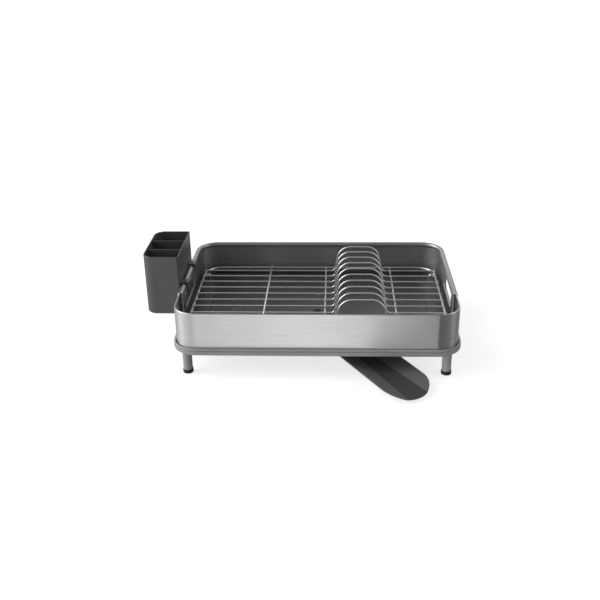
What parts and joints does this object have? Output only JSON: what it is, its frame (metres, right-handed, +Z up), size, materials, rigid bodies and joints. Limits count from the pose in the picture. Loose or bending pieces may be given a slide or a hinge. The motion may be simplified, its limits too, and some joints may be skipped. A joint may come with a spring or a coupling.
{
  "type": "dish drying rack",
  "caption": "Countertop dish drying rack: steel fence on a four-legged base, lift-out wire rack with plate arches, drip tray, swivelling drain spout and hook-on cutlery holder.",
  "frame": {"origin": "centre of the whole object's footprint, on the surface it stands on", "axes": "+X to the right along the long side, +Y to the back, +Z up; the brushed front panel faces -Y"},
  "size_m": [0.565, 0.4304, 0.175],
  "materials": {
    "brushed_steel": "horizontal brushed satin with a thin bright folded edge",
    "coated_steel": "satin dark grey metallic coat on sheet",
    "pale_plastic": "fine matte moulded grey",
    "dark_plastic": "fine matte moulded charcoal",
    "bright_wire": "polished round wire with small weld beads",
    "spring_steel": "plain spring steel",
    "black_rubber": "smooth matte black"
  },
  "bodies": {
    "base": {"base_frame": "pale_plastic", "drip_tray": "dark_plastic", "spout_retaining_clip": "spring_steel", "leg_front_left": "pale_plastic", "leg_front_right": "pale_plastic", "leg_back_left": "pale_plastic", "leg_back_right": "pale_plastic", "foot_cap_front_left": "black_rubber", "foot_cap_front_right": "black_rubber", "foot_cap_back_left": "black_rubber", "foot_cap_back_right": "black_rubber"},
    "fence": {"front_panel": "brushed_steel", "rear_panel": "coated_steel"},
    "wire_rack": {"rack_frame_wire": "bright_wire", "plate_wire_01": "bright_wire", "plate_wire_02": "bright_wire", "plate_wire_03": "bright_wire", "plate_wire_04": "bright_wire", "plate_wire_05": "bright_wire", "plate_wire_06": "bright_wire", "plate_wire_07": "bright_wire", "plate_wire_08": "bright_wire", "plate_wire_09": "bright_wire", "plate_wire_10": "bright_wire", "cross_wire_1": "bright_wire", "cross_wire_2": "bright_wire", "cross_wire_3": "bright_wire", "rack_leg_front_left": "bright_wire", "rack_leg_front_right": "bright_wire", "rack_leg_back_left": "bright_wire", "rack_leg_back_right": "bright_wire"},
    "spout": {"swivel_spout": "dark_plastic"},
    "holder": {"cutlery_holder": "dark_plastic"}
  },
  "joints": [
    {"name": "spout_swivel", "type": "hinge", "parent": "base", "child": "spout", "pos_m": [0.0325, 0.03969, 0.04], "axis": [0, 0, 1], "range_deg": [-78, 9]},
    {"name": "fence_lift", "type": "slide", "parent": "base", "child": "fence", "axis": [0, 0, 1], "range_m": [0, 0.1]},
    {"name": "wire_rack_lift", "type": "slide", "parent": "base", "child": "wire_rack", "axis": [0, 0, 1], "range_m": [0, 0.12]},
    {"name": "holder_lift", "type": "slide", "parent": "fence", "child": "holder", "axis": [0, 0, 1], "range_m": [0, 0.06]}
  ]
}
